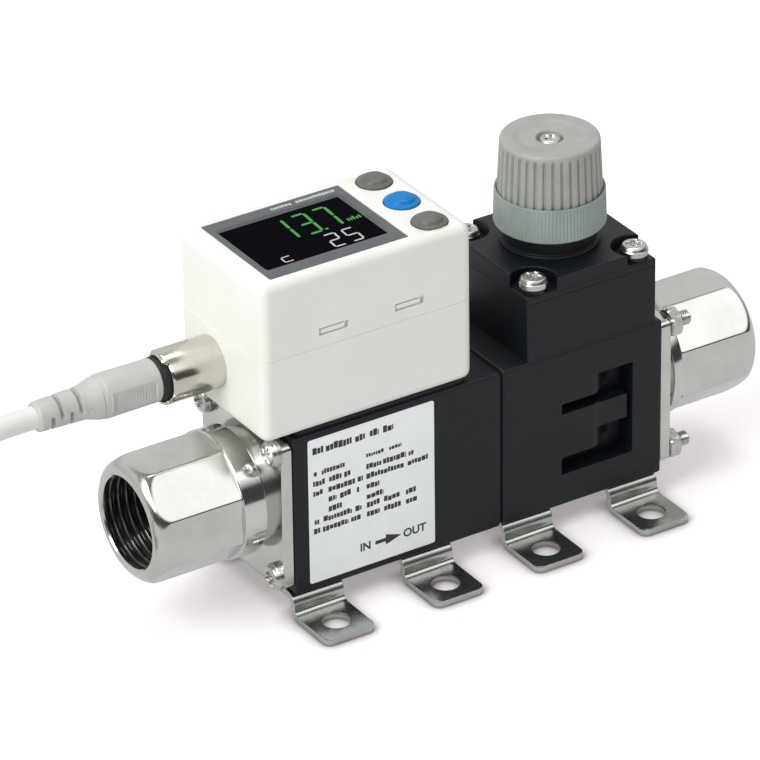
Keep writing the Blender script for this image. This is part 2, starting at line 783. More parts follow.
@dataclass
class Ports(SubAssembly):
    """The two threaded ports: square flange, undercut, polished collar and wrench octagon."""

    axis_z: float = 24.0
    flange_t: float = 2.5
    flange_edge: float = 0.35
    bar_r: float = 13.0
    octagon_a: float = 12.0
    octagon_l: float = 18.7
    undercut_r: float = 11.6
    collar_at: float = 4.6
    collar_edge: float = 0.35
    end_round: float = 4.6
    end_turn_deg: float = 60.0
    mouth_bevel: float = 0.3
    thread_r: float = 10.3
    thread_end: float = 11.5
    thread_pitch: float = 1.81
    thread_h: float = 1.0
    passage_r: float = 8.0
    edge_blend: float = 0.26
    flange_corner: float = 1.5
    step: float = 0.2
    overlap: float = 0.3
    mouth_land: float = 0.8
    thread_in: float = 0.5
    thread_fade: float = 1.5
    thread_rows: int = 110
    lining: float = 0.15
    columns: int = 384

    @property
    def crest_r(self) -> float:
        """Radius of the thread's crests."""
        return self.thread_r - self.thread_h

    def barrel(self, reach: float) -> Surface:
        """Octagon with its round end, about a bore.

        The bar's radius is cut down to the flats, and the end is an arc.

        Args:
            reach: Length of the port.

        Returns:
            The closed barrel, from the flange's inner face to the mouth.
        """
        start = reach - self.octagon_l
        turn = np.radians(np.linspace(0, self.end_turn_deg, 10))
        arc = np.stack([reach - self.end_round * (np.sin(turn[-1]) - np.sin(turn)),
                        self.bar_r - self.end_round * (1 - np.cos(turn))], 1)
        crest, liner = self.crest_r, self.thread_r + self.step
        outer = np.concatenate([[(0, self.undercut_r), (start - self.step, self.undercut_r),
                                 (start, self.bar_r - self.overlap), (start + self.step, self.bar_r)], arc,
                                [(reach, crest + self.mouth_bevel), (reach - self.mouth_bevel, crest),
                                 (reach - self.mouth_land, crest), (reach - self.mouth_land - 0.1, liner),
                                 (0, liner)]])
        flats = polygon_side(self.octagon_a, 8)

        def cut(way: Array, height: Array, radius: Array) -> Array:
            """Lesser of the bar's radius and the octagon's, from the collar on."""
            return np.where(height > start - 0.1, softmin(radius, flats(way), self.edge_blend), radius)

        return Surface().sheet(turned(dense(outer, 3.0), self.columns, cut), ring=True)

    def collar(self, reach: float) -> Surface:
        """Buffed ring behind the octagon, with eased edges.

        Args:
            reach: Length of the port.

        Returns:
            The ring, closed on itself.
        """
        low, high = self.collar_at, reach - self.octagon_l
        foot = self.undercut_r - self.overlap
        profile = rounded([(high, foot), (high, self.bar_r), (low, self.bar_r), (low, foot)],
                          [0.1, self.collar_edge, self.collar_edge, 0.1], 6)
        return Surface().sheet(turned(profile, self.columns), ring=True)

    def thread(self, reach: float) -> Surface:
        """Lining of the bore: a ridge that climbs one pitch a turn and fades out, then the plain passage.

        Args:
            reach: Length of the port.

        Returns:
            The lining, closed behind the thread.
        """
        start, end = reach - self.thread_in, self.thread_end
        height = np.linspace(start, end, self.thread_rows)
        fade = rise(height, end, end + self.thread_fade)
        back = self.thread_r + self.lining

        def ridge(turn: Array, along: Array, radius: Array) -> Array:
            """Radius less a smooth crest once in each pitch."""
            phase = along / self.thread_pitch + turn / FULL_TURN
            crest = np.abs(2 * (phase % 1) - 1)
            return radius - self.thread_h * fade[:, None] * rise(crest, 0.12, 0.88)

        rows = turned(np.stack([height, np.full(len(height), self.thread_r)], 1), self.columns, ridge)
        rest = np.array([(end, self.passage_r), (0, self.passage_r), (0, back), (start, back)])
        return Surface().sheet(np.concatenate([rows, turned(rest, self.columns)]), ring=True)

    def build(self) -> None:
        """Builds both ports, each of body, collar and thread."""
        for name, axis in (("inlet_port", Axis.LEFT), ("outlet_port", Axis.RIGHT)):
            low, high = span(name)
            reach = high[0] - low[0]
            inner_x = high[0] if axis is Axis.LEFT else low[0]
            at = (inner_x, 0, self.axis_z)
            flange = round_rect((low[1], low[2]), (high[1], high[2]), self.flange_corner)
            shape = Surface().take(self.barrel(reach), axis, at)
            hole = circle((0, self.axis_z), self.undercut_r - self.overlap)
            shape.block(flange, eased(0, self.flange_t, self.flange_edge, self.flange_edge), [hole],
                        np.array([(0, 0), (0, self.flange_t)]), axis, (inner_x, 0, 0))
            self.dress(shape, name, "stainless")
            collar = Surface().take(self.collar(reach), axis, at)
            collar.piece(name + "_collar", self.palette.polished, "stainless")
            thread = Surface().take(self.thread(reach), axis, at)
            thread.piece(name + "_thread", self.palette.tapped, "stainless")


@dataclass
class Blocks(SubAssembly):
    """The black sensor block and valve block, with the seam between them and the grip hollow in front."""

    edge: float = 0.6
    seam_w: float = 0.5
    seam_d: float = 0.5
    seam_reach: float = 3.0
    hollow_at: tuple[float, float] = (13.8, 30.5)
    hollow_z: tuple[float, float] = (12.7, 32.9)
    bar_z: tuple[float, float] = (20.4, 26.2)
    low_slot_top: float = 16.5
    high_slot_top: float = 28.5
    hollow_d: float = 4.0
    scoop: tuple[float, float] = (0.45, 0.8)
    bar_d: float = 0.45
    bar_gap: float = 0.8
    wall: float = 0.25
    tower_z: float = 52.6
    tower_half: tuple[float, float] = (15.05, 14.7)
    tower_edge: float = 0.4

    @property
    def hollow_x(self) -> Array:
        """Left and right end of the grip hollow, measured from the seam."""
        return span("valve_body")[0][0] + np.array(self.hollow_at)

    def depth(self, x: Array, z: Array) -> Array:
        """Depth of the grip hollow: a scoop that falls away to the right, two slots and a standing bar.

        Args:
            x: Places along the block's front.
            z: Their heights.

        Returns:
            Depth at each place.
        """
        x0, x1 = self.hollow_x
        share = (x - x0) / (x1 - x0)
        ramp = self.hollow_d * rise(share, *self.scoop) * plateau(x, x0 - 0.01, x1, self.wall)
        deep = ramp * plateau(z, *self.hollow_z, self.wall)
        full = self.hollow_d * plateau(x, x0, x1, self.wall)
        for low, high in ((self.hollow_z[0], self.low_slot_top), (self.bar_z[1], self.high_slot_top)):
            deep = np.maximum(deep, full * plateau(z, low, high, self.wall))
        bar = plateau(x, x0 - 1, x1 - self.bar_gap, self.wall) * plateau(z, *self.bar_z, self.wall)
        return deep + (np.minimum(deep, self.bar_d) - deep) * bar

    def sensor(self) -> None:
        """Sensor block, with a step back at the seam."""
        low, high = span("sensor_body")
        shape = Surface()
        shape.block(round_rect(low[:2], (high[0] - self.seam_w, high[1]), self.edge),
                    eased(low[2], high[2], self.edge, self.edge))
        inner = round_rect((high[0] - self.seam_reach, low[1] + self.seam_d),
                           (high[0], high[1] - self.seam_d), 0.2)
        shape.block(inner, eased(low[2] + self.seam_d, high[2] - self.seam_d, 0.1, 0.1))
        self.dress(shape, "sensor_body", "black_resin")

    def valve(self) -> None:
        """Valve block with its grip hollow, and the tower that carries the bonnet."""
        low, high = span("valve_body")
        block_top = span("sensor_body")[1][2]
        left, right = self.hollow_x
        ends = (left, right - self.bar_gap - self.wall, right - self.wall)
        lines_x = [v + d for v in ends for d in (0, self.wall)]
        lines_x += np.linspace(left + 1, right - 1.2, 14).tolist()
        marks = (self.hollow_z[0], self.low_slot_top - self.wall, self.bar_z[0], self.bar_z[1] - self.wall,
                 self.bar_z[1], self.high_slot_top - self.wall, self.hollow_z[1] - self.wall)
        lines_z = sorted({round(v + d, 4) for v in marks for d in (0, self.wall)})
        loop = refine(round_rect(low[:2], high[:2], self.edge), 0, np.unique(np.round(lines_x, 4)))

        def press(rows: Array) -> Array:
            """Presses the grip hollow into the front.

            Args:
                rows: Rows of the wall.

            Returns:
                The rows with the hollow.
            """
            front = np.isclose(rows[..., 1], low[1])
            pressed = rows.copy()
            pressed[..., 1] += np.where(front, self.depth(rows[..., 0], rows[..., 2]), 0)
            return pressed

        shape = Surface()
        shape.block(loop, with_rows(eased(low[2], block_top, self.edge, self.edge), lines_z), relief=press)
        axis, half = np.array([middle("knob")[0], 0.0]), np.array(self.tower_half)
        tower = round_rect(axis - half, axis + half, self.tower_edge)
        shape.block(tower, eased(block_top - 1, self.tower_z, 0.1, 0.15))
        self.dress(shape, "valve_body", "black_resin")

    def build(self) -> None:
        """Builds both blocks."""
        self.sensor()
        self.valve()


@dataclass
class ValveTop(SubAssembly):
    """Bonnet cap, lock ring and knob, all about the spindle axis."""

    half: tuple[float, float] = (15.05, 14.7)
    edge: float = 0.4
    ledge_z: float = 54.1
    plate_z: float = 56.6
    screw_at: float = 11.8
    notch_r: float = 4.6
    boss_r: float = 9.9
    boss_h: float = 0.8
    neck_r: float = 9.2
    cup_r: float = 10.5
    cup_d: float = 1.7
    ring_bore_r: float = 9.27
    ring_teeth: int = 96
    ring_tooth: float = 0.14
    ring_taper: float = 0.2
    knob_ribs: int = 36
    rib_depth: float = 0.5
    rim: float = 1.2
    knob_taper: float = 0.6
    crown_h: float = 0.9
    dish_d: float = 0.4
    well_r: float = 2.75
    well_d: float = 1.5

    @property
    def axis(self) -> tuple[float, float, float]:
        """Point of the spindle axis on the floor."""
        return (middle("knob")[0], 0.0, 0.0)

    def bonnet(self) -> None:
        """Square cap whose upper plate is cut round at the corners for the screws, with a boss and a neck."""
        high = span("bonnet")[1]
        tower_z = span("valve_body")[1][2]
        centre = np.array(self.axis[:2])
        half = np.array(self.half)
        reach = (half - self.screw_at) / self.notch_r
        turn = np.linspace(np.pi + np.arcsin(reach[1]), np.arccos(reach[0]), 24)
        notch = (self.screw_at, -self.screw_at) + self.notch_r * np.stack([np.cos(turn), np.sin(turn)], 1)
        plate = np.concatenate([notch, (notch * (1, -1))[::-1], -notch, (notch * (-1, 1))[::-1]])
        shape = Surface()
        shape.block(round_rect(centre - half, centre + half, self.edge),
                    eased(tower_z, self.ledge_z, 0.15, 0.35))
        shape.block(plate + centre, eased(self.ledge_z - 0.5, self.plate_z, 0.1, 0.3))
        foot, step = self.plate_z - 0.5, self.plate_z + self.boss_h
        profile = bent([(foot, 0), (foot, self.boss_r), (step, self.boss_r), (step, self.neck_r),
                        (high[2], self.neck_r), (high[2], 0)], [0.1, 0.3, 0.2, 0.3])
        shape.lathe(profile, 96, at=self.axis)
        self.dress(shape, "bonnet", "black_resin")

    def lock_ring(self) -> None:
        """Finely knurled ring: the radius dips by a cosine, once for each tooth, between two plain rims."""
        low, high = span("lock_ring")
        r = (high[0] - low[0]) / 2
        top, bottom = high[2], low[2]
        cup, bore, shelf = self.cup_r, self.ring_bore_r, top - self.cup_d
        r_top = r - self.ring_taper
        profile = rounded([(bottom, bore), (bottom, r), (top, r_top), (top, cup), (shelf, cup), (shelf, bore)],
                          [0.1, 0.5, 0.15, 0.1, 0.2, 0.1], 6)

        def knurl(turn: Array, height: Array, radius: Array) -> Array:
            """Radius less the teeth, on the outer wall only."""
            band = plateau(height, bottom + 0.35, top - 0.25, 0.4) * rise(radius, r - 0.45, r - 0.3)
            return radius - self.ring_tooth * band * (0.5 + 0.5 * np.cos(self.ring_teeth * turn))

        heights = np.linspace(bottom + 0.6, top - 0.3, 14)
        edge = np.flatnonzero(profile[:, 1] > r - 0.3)
        cut = edge[np.argmax(np.diff(profile[edge, 0]))] + 1
        wall = np.stack([heights, np.interp(heights, [bottom, top], [r, r_top])], 1)
        profile = np.concatenate([profile[:cut], wall, profile[cut:]])
        shape = Surface().lathe(profile, self.ring_teeth * 6, at=self.axis, shape=knurl, ring=True)
        self.dress(shape, "lock_ring", "ring_green_grey", "lock_ring")

    def knob(self) -> None:
        """Tapered knob: narrow grooves between wide ribs that run out below the rim, and a dished top."""
        low, high = span("knob")
        bottom, top = low[2], high[2]
        r = (high[0] - low[0]) / 2
        side = np.linspace(bottom, top - self.crown_h, 28)
        wall = np.stack([side, np.interp(side, [bottom, top], [r, r - self.knob_taper])], 1)
        dish, well = top - self.dish_d, top - self.well_d
        crown = bent([(top - self.crown_h, r - 0.57), (top - 0.05, r - 0.65), (top - 0.1, r - 3.2),
                      (dish, r - 4.4), (dish, self.well_r), (well, self.well_r - 0.2), (well, 0)],
                     [0.7, 0.8, 0.6, 0.25, 0.2], 6)
        foot = [(bottom + 0.2, 0), (bottom + 0.2, r - 1.8), (bottom, r - 1.5)]
        profile = np.concatenate([foot, wall, crown[1:]])

        def grip(turn: Array, height: Array, radius: Array) -> Array:
            """Radius less the grooves, on the outer wall below the rim.

            Args:
                turn: Turn about the spindle.
                height: Height above the floor.
                radius: Radius of the profile.

            Returns:
                The new radius.
            """
            phase = np.abs((turn * self.knob_ribs / FULL_TURN + 0.5) % 1 - 0.5)
            groove = 1 - rise(phase, 0.07, 0.25)
            band = 1 - rise(height, top - self.rim - 0.5, top - self.rim + 0.3)
            return radius - self.rib_depth * groove * band * rise(radius, r - 1.2, r - 0.9)

        shape = Surface().lathe(profile, self.knob_ribs * 12, at=self.axis, shape=grip)
        self.dress(shape, "knob", "knob_grey", "knob")

    def build(self) -> None:
        """Builds the valve's upper works."""
        self.bonnet()
        self.lock_ring()
        self.knob()


@dataclass
class Fasteners(SubAssembly):
    """Tie bolts with their nuts, bonnet screws and the knob screw."""

    head_r: float = 2.8
    head_h: float = 2.1
    knob_head: tuple[float, float] = (2.3, 1.2)
    dome: float = 0.16
    shoulder: float = 0.34
    recess: tuple[float, float, float] = (0.16, 0.62, 0.5)
    bolt_turns: tuple[float, float] = (20, 31)
    cap_turns: tuple[float, float] = (30, 23)
    knob_turn: float = 15
    shank_r: float = 1.5
    thread_pitch: float = 0.5
    thread_h: float = 0.22
    bolt_y: float = 12.4
    bolt_z: tuple[float, float] = (9.9, 37.3)
    nut_af: float = 5.5
    nut_h: float = 2.4
    flange_t: float = 2.5
    bonnet_pitch: float = 23.6
    washer: tuple[float, float] = (2.6, 1.0)
    ledge_z: float = 54.1
    columns: int = 72

    def head(self, radius: float, height: float, turn_deg: float = 0) -> Surface:
        """Pan head with a cross recess.

        The height over each point of a disc is a flat dome that falls away at the rim, less the depth of two
        crossed bars whose ends and sides slope.

        Args:
            radius: Radius of the head.
            height: Height of its middle.
            turn_deg: Turn of the recess.

        Returns:
            The closed head, standing on its flat side.
        """
        reach = np.concatenate([np.linspace(0, 0.72, 15), np.linspace(0.76, 1, 9)]) * radius
        turn = np.arange(self.columns) * FULL_TURN / self.columns
        far, way = np.meshgrid(reach, turn, indexing="ij")
        u, v = far * np.cos(way - math.radians(turn_deg)), far * np.sin(way - math.radians(turn_deg))
        dome = height - self.dome * radius * (far / radius) ** 2
        shoulder = dome - self.shoulder * height * rise(far, 0.74 * radius, radius) ** 2
        half_w, half_l = self.recess[0] * radius, self.recess[1] * radius
        bars = [(1 - rise(np.abs(a), half_w * 0.6, half_w * 1.5)) * (1 - rise(np.abs(b), half_l * 0.7, half_l))
                for a, b in ((u, v), (v, u))]
        z = shoulder - self.recess[2] * height * np.maximum(*bars)
        top = np.stack([far * np.cos(way), far * np.sin(way), z], -1)
        skirt = np.stack([top[-1], top[-1] * (1, 1, 0), top[-1] * (0, 0, 0)])
        return Surface().sheet(np.concatenate([top, skirt]))

    def stud(self, start: float, end: float) -> Surface:
        """Threaded rod: a fine ridge that climbs one pitch a turn, with a bevelled tip.

        Args:
            start: Height of its foot.
            end: Height of its tip.

        Returns:
            The closed rod.
        """
        height = np.arange(start, end - 0.35, self.thread_pitch / 6)
        tip = np.array([(end - 0.3, self.shank_r - 0.05), (end, self.shank_r - 0.4), (end, 0)])
        profile = np.concatenate([[(start, 0)], np.stack([height, np.full(len(height), self.shank_r)], 1), tip])

        def ridge(turn: Array, along: Array, radius: Array) -> Array:
            """Radius less a groove with straight sides once in each pitch."""
            phase = along / self.thread_pitch + turn / FULL_TURN
            full = (radius > self.shank_r - 0.01) * rise(along, start, start + 0.4)
            return radius - self.thread_h * full * np.abs(2 * (phase % 1) - 1)

        return Surface().sheet(turned(profile, 48, ridge))

    def nut(self) -> Surface:
        """Hexagon whose corners are cut by a cone at both faces, with a countersunk bore.

        Returns:
            The nut, standing on one face.
        """
        flat, h, bore = self.nut_af / 2, self.nut_h, self.shank_r + 0.02
        corner = flat / math.cos(math.pi / 6) + 0.05
        profile = np.array([(0, bore), (0, flat - 0.1), (0.05, flat + 0.05), (0.35, corner), (h - 0.35, corner),
                            (h - 0.05, flat + 0.05), (h, flat - 0.15), (h, self.shank_r + 0.3),
                            (h - 0.3, bore)])
        flats = polygon_side(flat, 6)

        def hexagon(turn: Array, height: Array, radius: Array) -> Array:
            """Lesser of the cone's radius and the hexagon's, outside the bore."""
            return np.where(radius > flat - 0.2, softmin(radius, flats(turn), 0.08), radius)

        return Surface().sheet(turned(profile, 96, hexagon), ring=True)

    def build(self) -> None:
        """Builds all screws and nuts."""
        left = span("inlet_port")[1][0] - self.flange_t
        right = span("outlet_port")[0][0] + self.flange_t
        spindle = middle("knob")[0]
        end = span("tie_bolts")[1][0]
        bolts, nuts = Surface(), Surface()
        spots = [(y, z) for y in (-self.bolt_y, self.bolt_y) for z in self.bolt_z]
        for i, (y, z) in enumerate(spots):
            turn = self.bolt_turns[0] + self.bolt_turns[1] * i
            bolts.take(self.head(self.head_r, self.head_h, turn), Axis.LEFT, (left, y, z))
            bolts.take(self.stud(0, end - right), Axis.RIGHT, (right, y, z))
            nuts.take(self.nut(), Axis.RIGHT, (right, y, z))
        self.dress(bolts, "tie_bolts", "screw_steel")
        nuts.piece("tie_nuts", self.palette["screw_steel"], "screw_steel", replaces=["tie_nuts"], sharp_deg=25)
        r, h = self.washer
        washer = np.array([(0, 0), (0, r), (h, r), (h, 0)])
        caps, washers = Surface(), Surface()
        for i, (x, y) in enumerate(((-1, -1), (1, -1), (-1, 1), (1, 1))):
            at = np.array([spindle + x * self.bonnet_pitch / 2, y * self.bonnet_pitch / 2, self.ledge_z])
            washers.sheet(turned(washer, self.columns) + at)
            turn = self.cap_turns[0] + self.cap_turns[1] * i
            caps.take(self.head(self.head_r, self.head_h, turn), at=at + (0, 0, h))
        self.dress(caps, "bonnet_screws", "screw_steel")
        washers.piece("bonnet_washers", self.palette.blackened, "screw_steel")
        seat = span("knob_screw")[1][2] - self.knob_head[1]
        screw = Surface().take(self.head(*self.knob_head, self.knob_turn), at=(spindle, 0, seat))
        self.dress(screw, "knob_screw", "screw_steel", "knob")


@dataclass
class Brackets(SubAssembly):
    """Two sheet brackets, each one flat pattern with four feet folded down and out."""

    sheet_t: float = 1.5
    edge: float = 0.22
    foot_w: float = 11.4
    pitch_x: float = 25.0
    pitch_y: float = 41.5
    hole_r: float = 2.8
    tab_corner: float = 1.7
    inner_corner: float = 0.8
    plate_half: float = 12.1
    bend_r: float = 1.95
    riser_y: float = 14.05
    top_z: float = 4.95
    low_z: float = 0.75
    tab_y: float = 26.4

    @property
    def marks(self) -> Array:
        """Distances along the flat pattern at which the two bends start and end."""
        r, quarter = self.bend_r, self.bend_r * np.pi / 2
        return np.cumsum([self.riser_y - r, quarter, self.top_z - self.low_z - 2 * r, quarter])

    def path(self, along: Array) -> tuple[Array, Array, Array]:
        """Middle line of the folded sheet, from the middle out.

        It runs flat, turns down by a quarter, falls, turns out by a quarter and runs flat again as the tab.

        Args:
            along: Distance along the flat pattern from the middle, not negative.

        Returns:
            Distance out, height, and the angle by which the sheet has turned down.
        """
        r, marks = self.bend_r, self.marks
        first = np.clip((along - marks[0]) / r, 0, np.pi / 2)
        second = np.clip((along - marks[2]) / r, 0, np.pi / 2)
        out = np.minimum(along, marks[0]) + np.maximum(along - marks[3], 0)
        out = out + r * (np.sin(first) + 1 - np.cos(second))
        drop = np.clip(along, *marks[1:3]) - marks[1]
        return out, self.top_z - drop - r * (1 - np.cos(first) + np.sin(second)), first - second

    def folded(self, points: Array) -> Array:
        """Bends the flat pattern to the bracket's shape.

        Args:
            points: Points of the flat pattern: across, along and through the sheet.

        Returns:
            The points in the bracket's own frame.
        """
        across, along, through = np.moveaxis(points, -1, 0)
        out, high, turn = self.path(np.abs(along))
        out = out + through * np.sin(turn)
        return np.stack([across, np.sign(along) * out, high + through * np.cos(turn)], -1)

    def build(self) -> None:
        """Builds both brackets: outline and holes in the flat, rounded edges, then folded."""
        marks = self.marks
        end = marks[3] + self.tab_y - self.riser_y - self.bend_r
        hole_at = end - (self.tab_y - self.pitch_y / 2)
        wide, gap = (self.pitch_x + self.foot_w) / 2, (self.pitch_x - self.foot_w) / 2
        p, c, inset = self.plate_half, self.tab_corner, self.edge
        corners = [(-wide, -end), (-gap, -end), (-gap, -p), (gap, -p), (gap, -end), (wide, -end),
                   (wide, end), (gap, end), (gap, p), (-gap, p), (-gap, end), (-wide, end)]
        loop = rounded(corners, [c, c, self.inner_corner, self.inner_corner, c, c] * 2, 8)
        stations = np.concatenate([np.linspace(*marks[:2], 8), np.linspace(*marks[2:], 8)])
        stations = np.concatenate([-stations[::-1], stations])
        loop = refine(loop, 1, stations)
        half = self.sheet_t / 2
        layers = eased(-half, half, self.edge, self.edge, 3)
        holes = [circle((x, y), self.hole_r, 48) for x in (-self.pitch_x / 2, self.pitch_x / 2)
                 for y in (-hole_at, hole_at)]
        sides = np.array([(-wide + inset, -gap - inset), (gap + inset, wide - inset)])
        creases = np.stack(np.broadcast_arrays(sides[:, None], stations[None, :, None]), -1).reshape(-1, 2, 2)
        sheet = Surface()
        outer = walls(loop, layers)
        inner = [walls(hole, layers, -1) for hole in holes]
        for rows in [outer, *inner]:
            sheet.sheet(rows)
        for face in (0, -1):
            sheet.cap([outer[face]] + [rows[face] for rows in inner], creases=creases)
        sheet.points = [self.folded(np.concatenate(sheet.points))]
        for name in ("sensor_bracket", "valve_bracket"):
            low, high = span(name)
            shape = Surface().take(sheet, at=((low[0] + high[0]) / 2, 0, 0))
            self.dress(shape, name, "bracket_steel")


@dataclass
class DisplayHead(SubAssembly):
    """White head: housing, cover with its snap windows, display and three buttons."""

    corner: float = 2.0
    wall: float = 1.8
    joint: float = 0.18
    window: tuple[float, float] = (6.6, 1.6)
    window_x: tuple[float, float] = (15.95, 32.9)
    window_up: float = 2.45
    window_d: float = 0.9
    hook_gap: float = 0.28
    hook_end_gap: float = 0.95
    line: float = 0.08
    frame_corner: float = 0.3
    button_hole_r: float = 3.62
    digit_slant: float = 0.06
    stroke: float = 0.62
    title_words: tuple = ((0.48, 0.63), (0.66, 0.95))
    title_size: float = 0.95
    title_gap: float = 0.6
    print_t: float = 0.012
    segment_t: float = 0.015
    frame_drop: float = 0.06
    frame_slope: float = 0.55
    roof_t: float = 2.0
    brim_r: float = 4.1
    button_r: float = 3.5
    large_digit: tuple[float, float] = (2.75, 7.9)
    small_digit: tuple[float, float] = (2.3, 5.0)
    sign_size: tuple[float, float] = (1.9, 3.8)
    unit_bars: tuple[float, ...] = (0.5, 0.5, 0.9, 0.3, 0.7)

    def window_depth(self, x: Array, z: Array, starts: Sequence[float], low: float) -> Array:
        """Depth of the snap windows: a slot round the hook's face, wider at its right end.

        Args:
            x: Places along the cover's side.
            z: Their heights.
            starts: Left end of each window.
            low: Foot of the windows.

        Returns:
            Depth at each place.
        """
        deep = np.zeros_like(x)
        for x0 in starts:
            x1, z1 = x0 + self.window[0], low + self.window[1]
            slot = plateau(x, x0, x1, self.line) * plateau(z, low, z1, self.line)
            hook = plateau(x, x0 + self.hook_gap, x1 - self.hook_end_gap, self.line)
            hook = hook * plateau(z, low + self.hook_gap, z1 - self.hook_gap, self.line)
            deep = deep + self.window_d * slot - (self.window_d - 0.1) * hook
        return deep

    def housing(self) -> None:
        """Lower housing, round below and with a fine bevel at the joint."""
        low, _ = span("head_housing")
        split = span("head_cover")[0][2]
        top = span("head_cover")
        shape = Surface()
        loop = round_rect(top[0][:2], top[1][:2], self.corner, 8)
        shape.block(loop, eased(low[2], split, self.corner, self.joint, 7))
        self.dress(shape, "head_housing", "white_resin")

    def cover(self) -> None:
        """Upper cover: a shell with the display opening, three button holes and the snap windows."""
        low, high = span("head_cover")
        starts = [low[0] + x - self.window[0] / 2 for x in self.window_x]
        base = low[2] + self.window_up
        wide, tall = np.array(self.window) - self.line
        marks_x = [x0 + v for x0 in starts for v in (0, self.hook_gap, wide - self.hook_end_gap, wide)]
        marks_z = [base + v for v in (0, self.hook_gap, tall - self.hook_gap, tall)]
        lines_x, lines_z = ([v + d for v in marks for d in (0, self.line)] for marks in (marks_x, marks_z))
        loop = refine(round_rect(low[:2], high[:2], self.corner, 8), 0, lines_x)

        def press(rows: Array) -> Array:
            """Presses the snap windows into the front and the back.

            Args:
                rows: Rows of the wall.

            Returns:
                The rows with the windows.
            """
            pressed = rows.copy()
            for face, way in ((low[1], 1), (high[1], -1)):
                flat = np.isclose(rows[..., 1], face)
                deep = self.window_depth(rows[..., 0], rows[..., 2], starts, base)
                pressed[..., 1] += np.where(flat, way * deep, 0)
            return pressed

        outer = walls(loop, with_rows(eased(low[2], high[2], self.joint, self.corner, 7), lines_z))
        cavity = round_rect(low[:2] + self.wall, high[:2] - self.wall, 1.0, 4)
        ceiling = high[2] - self.roof_t
        inner = walls(cavity, np.array([(0, low[2]), (0, ceiling)]))
        bezel = span("display_bezel")
        openings = [round_rect(bezel[0][:2] - 0.04, bezel[1][:2] + 0.04, self.frame_corner, 5)]
        openings += [circle(middle("button_" + name)[:2], self.button_hole_r) for name in ("down", "set", "up")]
        through = [walls(hole, eased(ceiling, high[2], 0.02, 0.18, 3), -1) for hole in openings]
        shape = Surface().sheet(press(outer)).sheet(inner)
        for rows in through:
            shape.sheet(rows)
        shape.cap([outer[0], inner[0]])
        shape.cap([inner[-1]] + [rows[0] for rows in through])
        shape.cap([outer[-1]] + [rows[-1] for rows in through])
        self.dress(shape, "head_cover", "white_resin")

    def screen(self) -> None:
        """Dark frame with a sloping inner edge, and the black window in it."""
        low, high = span("display_bezel")
        pane_low, pane_high = span("display_panel")
        top = high[2] - self.frame_drop
        hole = round_rect(pane_low[:2] - 0.05, pane_high[:2] + 0.05, 0.3, 4)
        shape = Surface()
        shape.block(round_rect(low[:2], high[:2], self.frame_corner, 5), eased(low[2], top, 0.1, 0.15),
                    [hole], np.array([(0, low[2]), (0, pane_high[2] - 0.1), (-self.frame_slope, top)]))
        self.dress(shape, "display_bezel", "bezel")
        pane = Surface().block(round_rect(pane_low[:2], pane_high[:2], 0.25, 4),
                               eased(pane_low[2], pane_high[2], 0.1, 0.08, 3))
        self.dress(pane, "display_panel", "panel")

    def title(self) -> None:
        """Print on the upper band of the frame: pale bars in place of words."""
        low, high = span("display_bezel")
        band = (span("display_panel")[1][1] + self.title_gap, high[1])
        base = (band[0] + band[1] - self.title_size) / 2
        top = high[2] - self.frame_drop
        dice = np.random.default_rng(3)
        ink = Surface()
        for words in self.title_words:
            start, end = low[0] + np.array(words) * (high[0] - low[0])
            for bar in letter_bars(dice, start, end, base, self.title_size):
                ink.block(bar, film(top, self.print_t))
        ink.piece("display_title", self.palette[Ink.FRAME], "bezel")

    def digit(self, segments: str, at: Sequence, size: Sequence, high: float) -> Surface:
        """Lit segments of one figure: pointed bars laid on a slanted figure of eight.

        Args:
            segments: Letters of the lit bars, a to g in the usual order.
            at: Lower left corner.
            size: Width and height.
            high: Height of the window's face.

        Returns:
            The bars, as thin blocks.
        """
        (w, h), t = size, self.stroke * size[1] / 8
        ends = {"a": ((0, 1), (1, 1)), "b": ((1, .5), (1, 1)), "c": ((1, 0), (1, .5)), "d": ((0, 0), (1, 0)),
                "e": ((0, 0), (0, .5)), "f": ((0, .5), (0, 1)), "g": ((0, .5), (1, .5))}
        shape = Surface()
        for letter in segments:
            a, b = (np.array(e) * (w, h) for e in ends[letter])
            way = unit(b - a)
            side = np.array([-way[1], way[0]]) * t / 2
            a, b = a + way * 0.12 * t, b - way * 0.12 * t
            bar = np.array([a, a + way * t / 2 - side, b - way * t / 2 - side, b, b - way * t / 2 + side,
                            a + way * t / 2 + side])
            bar[:, 0] += self.digit_slant * bar[:, 1]
            shape.block(bar + np.asarray(at), film(high, self.segment_t))
        return shape

    def figures(self) -> None:
        """Readings on the display: a large green flow value, a smaller white one and a short sign."""
        low, high = span("display_panel")
        size = high[:2] - low[:2]
        top = high[2]

        def spot(x: float, y: float) -> Array:
            """Point at a share of the window's width and height."""
            return low[:2] + np.array([x, y]) * size

        green = Surface()
        for segments, x in (("bc", 0.345), ("abcdg", 0.535), ("abc", 0.71)):
            green.take(self.digit(segments, spot(x, 0.435), self.large_digit, top))
        dot = spot(0.664, 0.425)
        green.block(round_rect(dot, dot + 0.6, 0.1, 3), film(top, self.segment_t))
        for k, length in enumerate(self.unit_bars):
            start = spot(0.868 + 0.024 * k, 0.46)
            green.block(round_rect(start, start + (0.4, length + 0.5), 0.08, 3), film(top, self.segment_t))
        green.piece("display_flow_reading", self.palette[Ink.GREEN], "panel")
        white = Surface()
        for segments, x in (("abdeg", 0.585), ("acdfg", 0.735)):
            white.take(self.digit(segments, spot(x, 0.045), self.small_digit, top))
        white.take(self.digit("deg", spot(0.165, 0.045), self.sign_size, top))
        white.piece("display_second_reading", self.palette[Ink.WHITE], "panel")

